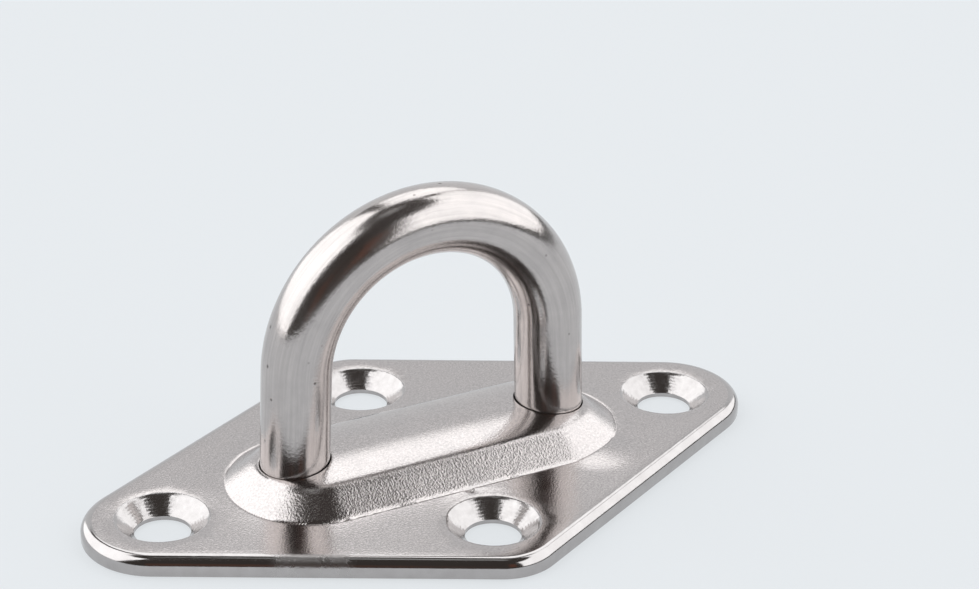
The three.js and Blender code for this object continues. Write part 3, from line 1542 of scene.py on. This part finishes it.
@dataclass
class Studio:
    """The pale table and the soft light round it."""

    backdrop: str = "#e8ecef"
    darkness: str = "#47423f"
    table_grey: str = "#6e7072"
    table_glow: float = 0.765
    table_half: float = 2.5
    panels: tuple[Panel, ...] = (
        Panel("cove", (-34.0, 80.0), (-6.0, 33.0), "#eceef0", 1.0, (9.0, 5.0)),
        Panel(
            "left softbox", (-97.0, -8.0), (2.0, 69.0), "#fdfeff", 2.15, (4.0, 5.0), (-0.38, 0.0)
        ),
        Panel("back softbox", (5.0, 57.0), (35.0, 69.0), "#fdfeff", 2.0, (4.0, 5.0)),
        Panel(
            "right softbox",
            (60.0, 169.0),
            (7.0, 84.0),
            "#fdfeff",
            1.95,
            (4.0, 1.0),
            tilt=(0.0, -0.19),
        ),
        Panel("frame between softboxes", (54.0, 70.0), (58.0, 80.0), "#4a423e", 1.0, (5.0, 4.0)),
        Panel("overhead sheet", (-190.0, 190.0), (83.0, 99.0), "#a2a3a3", 1.2, (2.0, 4.0)),
        Panel("brown door", (-180.0, -168.0), (12.0, 42.0), "#6a4a3e", 1.0, (6.0, 8.0)),
        Panel("brown chair", (-152.0, -138.0), (4.0, 26.0), "#5e473e", 1.0, (6.0, 6.0)),
        Panel("right flag", (58.0, 155.0), (-1.5, 6.5), "#3a3735", 1.0, (6.0, 1.6)),
    )

    def surroundings(self) -> None:
        """Lights the scene from all round, and shows the camera only a plain backdrop."""
        world = bpy.data.worlds.new("studio")
        bpy.context.scene.world = world
        world.use_nodes = True
        tree = world.node_tree
        tree.nodes.clear()
        way = add_node(tree, "ShaderNodeTexCoord").outputs["Generated"]
        axes = add_node(tree, "ShaderNodeSeparateXYZ", {0: way}).outputs
        rise = add_node(tree, "ShaderNodeMath", {0: axes["Z"]}, operation="ARCSINE")
        turn = add_node(tree, "ShaderNodeMath", {0: axes["X"], 1: axes["Y"]}, operation="ARCTAN2")
        elevation = add_node(tree, "ShaderNodeMath", {0: rise.outputs[0]}, operation="DEGREES")
        azimuth = add_node(tree, "ShaderNodeMath", {0: turn.outputs[0]}, operation="DEGREES")
        light = linear(self.darkness)
        for panel in self.panels:
            light = self.add_panel(tree, panel, azimuth.outputs[0], elevation.outputs[0], light)
        below = add_node(
            tree,
            "ShaderNodeMapRange",
            {"Value": elevation.outputs[0], "From Min": 0.5, "From Max": -0.5},
        )
        whole = add_node(
            tree,
            "ShaderNodeMix",
            {"Factor": below.outputs[0], 6: light, 7: linear(self.backdrop)},
            data_type="RGBA",
        )
        camera = add_node(tree, "ShaderNodeLightPath").outputs["Is Camera Ray"]
        seen = add_node(
            tree,
            "ShaderNodeMix",
            {"Factor": camera, 6: whole.outputs[2], 7: linear(self.backdrop)},
            data_type="RGBA",
        )
        shade = add_node(tree, "ShaderNodeBackground", {"Color": seen.outputs[2]})
        add_node(tree, "ShaderNodeOutputWorld", {"Surface": shade.outputs[0]})

    def add_panel(
        self,
        tree: bpy.types.NodeTree,
        panel: Panel,
        azimuth: bpy.types.NodeSocket,
        elevation: bpy.types.NodeSocket,
        behind: object,
    ) -> bpy.types.NodeSocket:
        """Lays one panel over what is behind it.

        Args:
            tree: The world's tree.
            panel: The panel.
            azimuth: The direction's azimuth in degrees.
            elevation: The direction's elevation in degrees.
            behind: The light behind the panel, a socket or a colour.

        Returns:
            The light with the panel laid over it.
        """
        mask: object = 1.0
        spans = ((azimuth, panel.azimuth, panel.soft[0]), (elevation, panel.elevation, panel.soft[1]))
        for value, (low, high), soft in spans:
            for edge, sign in ((low, 1), (high, -1)):
                upright = value is azimuth
                lean = (panel.lean if upright else panel.tilt)[0 if sign > 0 else 1]
                leaning = add_node(
                    tree,
                    "ShaderNodeMath",
                    {0: elevation if upright else azimuth, 1: -lean, 2: value},
                    operation="MULTIPLY_ADD",
                )
                step = add_node(
                    tree,
                    "ShaderNodeMapRange",
                    {
                        "Value": leaning.outputs[0],
                        "From Min": edge - sign * soft / 2,
                        "From Max": edge + sign * soft / 2,
                    },
                    interpolation_type="SMOOTHSTEP",
                )
                both = {0: mask, 1: step.outputs[0]}
                mask = add_node(tree, "ShaderNodeMath", both, operation="MULTIPLY").outputs[0]
        glow = tuple(c * panel.strength for c in linear(panel.colour)[:3]) + (1.0,)
        mix = add_node(
            tree, "ShaderNodeMix", {"Factor": mask, 6: behind, 7: glow}, data_type="RGBA"
        )
        mix.label = panel.name
        return mix.outputs[2]

    def table(self) -> bpy.types.Object:
        """Makes the pale table that the part lies on.

        Returns:
            The table, marked as no part of the object. It glows a little, as a lit acrylic sheet
            does, which keeps the shadows faint.
        """
        material, tree = new_material("lit acrylic sheet")
        glow = add_node(
            tree,
            "ShaderNodeEmission",
            {"Color": linear(self.backdrop), "Strength": self.table_glow},
        )
        sheet = add_node(tree, "ShaderNodeBsdfDiffuse", {"Color": linear(self.table_grey)})
        both = add_node(
            tree, "ShaderNodeAddShader", {0: glow.outputs[0], 1: sheet.outputs[0]}
        )
        add_node(tree, "ShaderNodeOutputMaterial", {"Surface": both.outputs[0]})
        half = self.table_half
        data = bpy.data.meshes.new("table")
        low = CAD_BOX[0].z - 0.05 * MM
        corners = [(-half, -half, low), (half, -half, low), (half, half, low), (-half, half, low)]
        data.from_pydata(corners, [], [(0, 1, 2, 3)])
        data.materials.append(material)
        table = bpy.data.objects.new("table", data)
        bpy.context.collection.objects.link(table)
        return table


@dataclass
class Camera:
    """A long lens, looking down at the part from the front left."""

    place: Point = (-122.79, -243.20, 158.13)
    turn: Point = (63.608, -0.823, -27.918)
    lens: float = 98.76

    def build(self) -> bpy.types.Object:
        """Makes the camera and gives it to the scene.

        Returns:
            The camera.
        """
        data = bpy.data.cameras.new("camera")
        data.lens = self.lens
        data.sensor_width = 36.0
        data.clip_start = 0.01
        data.clip_end = 20.0
        camera = bpy.data.objects.new("camera", data)
        camera.location = [c * MM for c in self.place]
        camera.rotation_euler = [math.radians(a) for a in self.turn]
        bpy.context.collection.objects.link(camera)
        bpy.context.scene.camera = camera
        return camera


def main() -> None:
    """Builds the studio and the part, and reports each piece."""
    logging.basicConfig(level=logging.INFO, format="%(name)s: %(message)s")
    bpy.context.scene.view_settings.view_transform = "Standard"
    Camera().build()
    studio = Studio()
    studio.surroundings()
    studio.table()
    bar = EyeBar.from_frame()
    plate = BasePlate.from_frame(bar)
    finishes = [
        PressedStainless().material(),
        TurnedStainless().material(),
        RolledEdgeStainless().material(),
    ]
    pieces = [plate.build(finishes), bar.build(PolishedBar().material())]
    weld = WeldedStainless().material()
    for side in Side:
        node = "weld_bead_" + side.name.lower()
        pieces.append(WeldBead(side, plate, node).build(weld))
    for piece in pieces:
        LOG.info("%s: %d faces", piece.name, len(piece.data.polygons))


if __name__ == "__main__":
    main()
